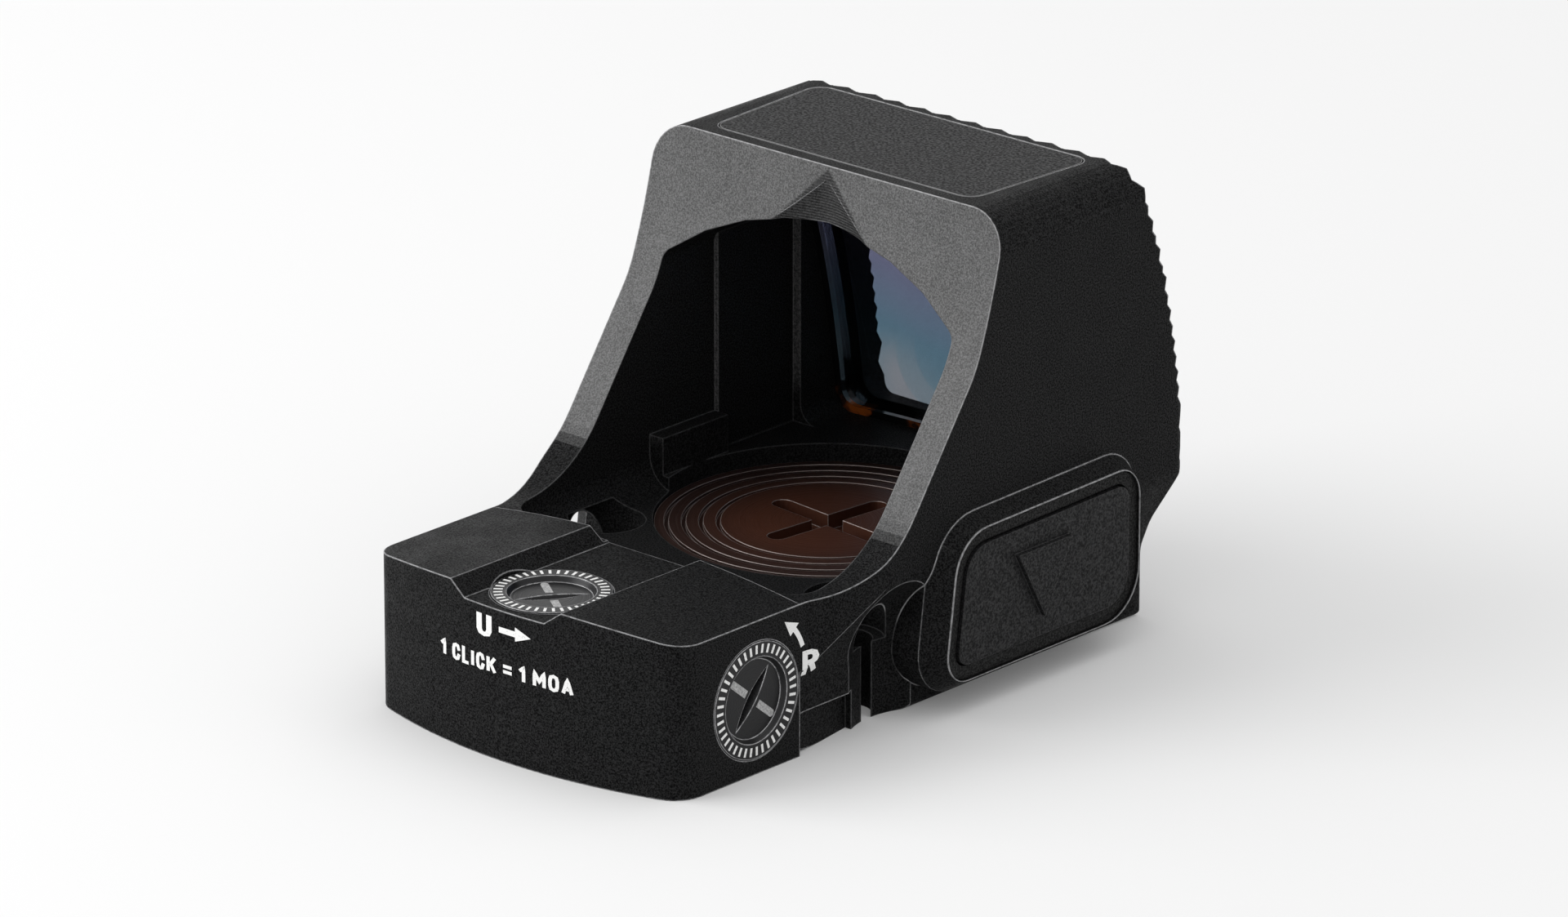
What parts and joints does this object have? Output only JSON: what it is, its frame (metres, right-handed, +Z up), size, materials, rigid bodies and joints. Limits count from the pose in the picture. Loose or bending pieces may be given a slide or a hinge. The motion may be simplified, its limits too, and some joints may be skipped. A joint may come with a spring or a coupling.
{
  "type": "open reflex sight",
  "caption": "Pistol-size open red dot sight: low adjuster deck, inclined hood with tilted lens, top-loading coin cell and side buttons.",
  "frame": {"origin": "middle of the underside that rests on the mounting plate, halfway along the overall length", "axes": "+X to the shooter's right, +Y forward along the line of sight, +Z up"},
  "size_m": [0.0296, 0.0434, 0.0285],
  "materials": {
    "anodised_aluminium": "bead-blasted, black anodised",
    "anodised_cap": "turned, black anodised",
    "adjuster_black": "turned, black oxide",
    "black_polymer": "moulded, fine grain",
    "gloss_adhesive": "wet-look bead",
    "coated_glass": "polished, reflective coating",
    "clear_glass": "polished",
    "rubber": "moulded",
    "cell_steel": "satin nickel",
    "spring_bronze": "bright",
    "brass": "machined",
    "spring_steel": "bright",
    "circuit_board": "solder mask",
    "diode_plastic": "clear resin"
  },
  "bodies": {
    "chassis": {"housing": "anodised_aluminium", "top_insert": "black_polymer", "lens": "coated_glass", "lens_bond": "gloss_adhesive", "emitter_window": "clear_glass", "coin_cell": "cell_steel", "cell_contact": "spring_bronze", "elevation_detent": "spring_steel", "windage_detent": "spring_steel", "elevation_spring": "spring_steel", "windage_spring": "spring_steel", "main_board": "circuit_board", "button_frame_left": "rubber", "button_frame_right": "rubber", "switch_left": "spring_steel", "switch_right": "spring_steel", "base_cover": "black_polymer", "cover_screws": "spring_steel"},
    "elevation_screw": {"elevation_dial": "adjuster_black", "elevation_seal": "rubber", "elevation_clip": "spring_steel"},
    "windage_screw": {"windage_dial": "adjuster_black", "windage_seal": "rubber", "windage_clip": "spring_steel"},
    "elevation_slider": {"elevation_carriage": "brass"},
    "windage_slider": {"windage_carriage": "brass", "emitter_board": "circuit_board", "emitter_diode": "diode_plastic"},
    "cap_ring": {"cap_seal": "rubber", "cell_spring": "spring_bronze"},
    "cap": {"battery_cap": "anodised_cap"},
    "left_button": {"button_up": "black_polymer"},
    "right_button": {"button_down": "black_polymer"}
  },
  "joints": [
    {"name": "elevation_turn", "type": "hinge", "parent": "chassis", "child": "elevation_screw", "pos_m": [0, -0.0177, 0.0085], "axis": [0, 0, 1], "range_deg": [-451, 451]},
    {"name": "windage_turn", "type": "hinge", "parent": "chassis", "child": "windage_screw", "pos_m": [0.0112, -0.01365, 0.00443], "axis": [1, 0, 0], "range_deg": [-451, 451]},
    {"name": "elevation_travel", "type": "slide", "parent": "chassis", "child": "elevation_slider", "axis": [0, 0, 1], "range_m": [-0.000375, 0.000375], "deforming": ["elevation_spring"]},
    {"name": "windage_travel", "type": "slide", "parent": "elevation_slider", "child": "windage_slider", "axis": [1, 0, 0], "range_m": [-0.000375, 0.000375]},
    {"name": "cap_lift", "type": "slide", "parent": "chassis", "child": "cap_ring", "axis": [0, 0, 1], "range_m": [0, 0.00175]},
    {"name": "cap_turn", "type": "hinge", "parent": "cap_ring", "child": "cap", "pos_m": [0, 0.0055, 0.0065], "axis": [0, 0, 1], "range_deg": [0, 1261]},
    {"name": "left_press", "type": "slide", "parent": "chassis", "child": "left_button", "axis": [1, 0, 0], "range_m": [0, 0.0004], "stiffness_N_per_m": 3000, "springref_m": -0.0002},
    {"name": "right_press", "type": "slide", "parent": "chassis", "child": "right_button", "axis": [-1, 0, 0], "range_m": [0, 0.0004], "stiffness_N_per_m": 3000, "springref_m": -0.0002}
  ],
  "couplings": [
    {"joint": "elevation_turn", "follows": "elevation_travel", "rad_per_m": -20944},
    {"joint": "windage_turn", "follows": "windage_travel", "rad_per_m": -20944},
    {"joint": "cap_turn", "follows": "cap_lift", "rad_per_m": 12566}
  ]
}
